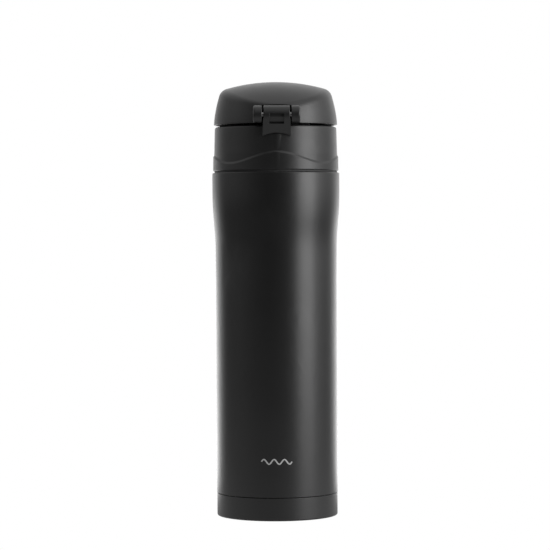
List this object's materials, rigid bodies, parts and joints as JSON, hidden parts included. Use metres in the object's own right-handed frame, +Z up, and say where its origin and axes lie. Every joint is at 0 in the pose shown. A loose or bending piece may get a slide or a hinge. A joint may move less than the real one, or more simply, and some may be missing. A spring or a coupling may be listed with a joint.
{
  "type": "vacuum flask",
  "caption": "Slim double-walled steel vacuum flask with a waisted body, wavy cap band, rear-hinged dome lid, push-button latch, lock ring and screw-on drinking spout.",
  "frame": {"origin": "centre of the standing face, on the flask's axis", "axes": "+Z up along the flask's axis, -Y towards the lid's hinge, +Y towards the push button"},
  "size_m": [0.0706, 0.0798, 0.2405],
  "materials": {
    "body_paint": "fine satin black coating on steel",
    "cap_plastic": "matt moulded black",
    "button_plastic": "satin dark grey",
    "inner_plastic": "satin dark grey",
    "steel": "electropolished",
    "copper": "bright copper foil",
    "solder": "dull solder",
    "getter": "sintered",
    "black_rubber": "matt",
    "silicone": "translucent white silicone",
    "pin_steel": "ground",
    "spring_steel": "drawn wire"
  },
  "bodies": {
    "bottle": {"outer_shell": "body_paint", "inner_flask": "steel", "heat_foil": "copper", "vacuum_base": "steel", "vacuum_plug": "solder", "getter": "getter", "base_cup": "body_paint", "foot_ring": "black_rubber"},
    "seal": {"mouth_gasket": "silicone"},
    "cap": {"cap_collar": "cap_plastic", "thread_ring": "inner_plastic", "drinking_spout": "inner_plastic", "seat_ring": "black_rubber", "plug_ring": "silicone", "hinge_pin": "pin_steel", "hinge_spring": "spring_steel", "rim_buffers": "black_rubber", "button_pin": "pin_steel", "lock_pivots": "pin_steel"},
    "button": {"latch_button": "button_plastic", "button_spring": "spring_steel"},
    "lock": {"lock_ring": "cap_plastic"},
    "lid": {"lid_shell": "cap_plastic", "lid_liner": "inner_plastic", "lid_gasket": "silicone", "gasket_retainer": "inner_plastic", "lid_catch": "inner_plastic"}
  },
  "joints": [
    {"name": "cap_lift", "type": "slide", "parent": "bottle", "child": "seal", "axis": [0, 0, 1], "range_m": [0, 0.006]},
    {"name": "cap_turn", "type": "hinge", "parent": "seal", "child": "cap", "pos_m": [0, 0, 0.19], "axis": [0, 0, 1], "range_deg": [0, 540]},
    {"name": "lid_hinge", "type": "hinge", "parent": "cap", "child": "lid", "pos_m": [0, -0.0349, 0.2205], "axis": [1, 0, 0], "range_deg": [0, 165]},
    {"name": "button_press", "type": "hinge", "parent": "cap", "child": "button", "pos_m": [0, 0.033, 0.2006], "axis": [1, 0, 0], "range_deg": [0, 5], "stiffness_Nm_per_rad": 0.1},
    {"name": "lock_swing", "type": "hinge", "parent": "cap", "child": "lock", "pos_m": [0, 0.0334, 0.2068], "axis": [1, 0, 0], "range_deg": [0, 150]}
  ],
  "couplings": [
    {"joint": "cap_lift", "follows": "cap_turn", "m_per_rad": 0.00063662}
  ]
}
